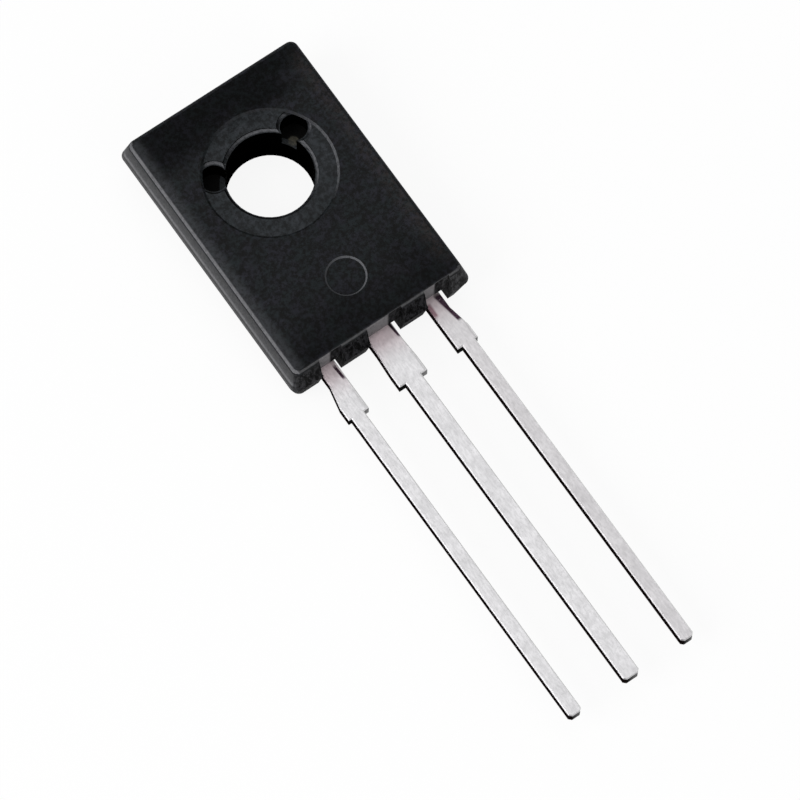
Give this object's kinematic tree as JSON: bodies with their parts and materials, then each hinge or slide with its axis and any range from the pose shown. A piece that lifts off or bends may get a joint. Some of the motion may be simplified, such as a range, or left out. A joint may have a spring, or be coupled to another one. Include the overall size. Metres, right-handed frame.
{
  "type": "power transistor",
  "caption": "Flat moulded power transistor with a screw hole, a bare heat-spreader plate on its back and straight tinned leads in a row.",
  "frame": {"origin": "axis of the mounting hole on the seating face, the bare metal back", "axes": "+Z out of the front face along the mounting hole, -Y along the leads, X across the body; the part lies on its back"},
  "size_m": [0.0076, 0.026, 0.0024],
  "materials": {
    "epoxy": "fine-grained black moulding compound",
    "tinned_copper": "tinned, finely brushed",
    "silicon": "polished",
    "solder": "dull",
    "aluminium_wire": "bright"
  },
  "bodies": {
    "root": {"epoxy_body": "epoxy", "collector_tab": "tinned_copper", "emitter_lead": "tinned_copper", "base_lead": "tinned_copper", "silicon_die": "silicon", "die_solder": "solder", "emitter_bond_wire": "aluminium_wire", "base_bond_wire": "aluminium_wire"}
  },
  "joints": []
}
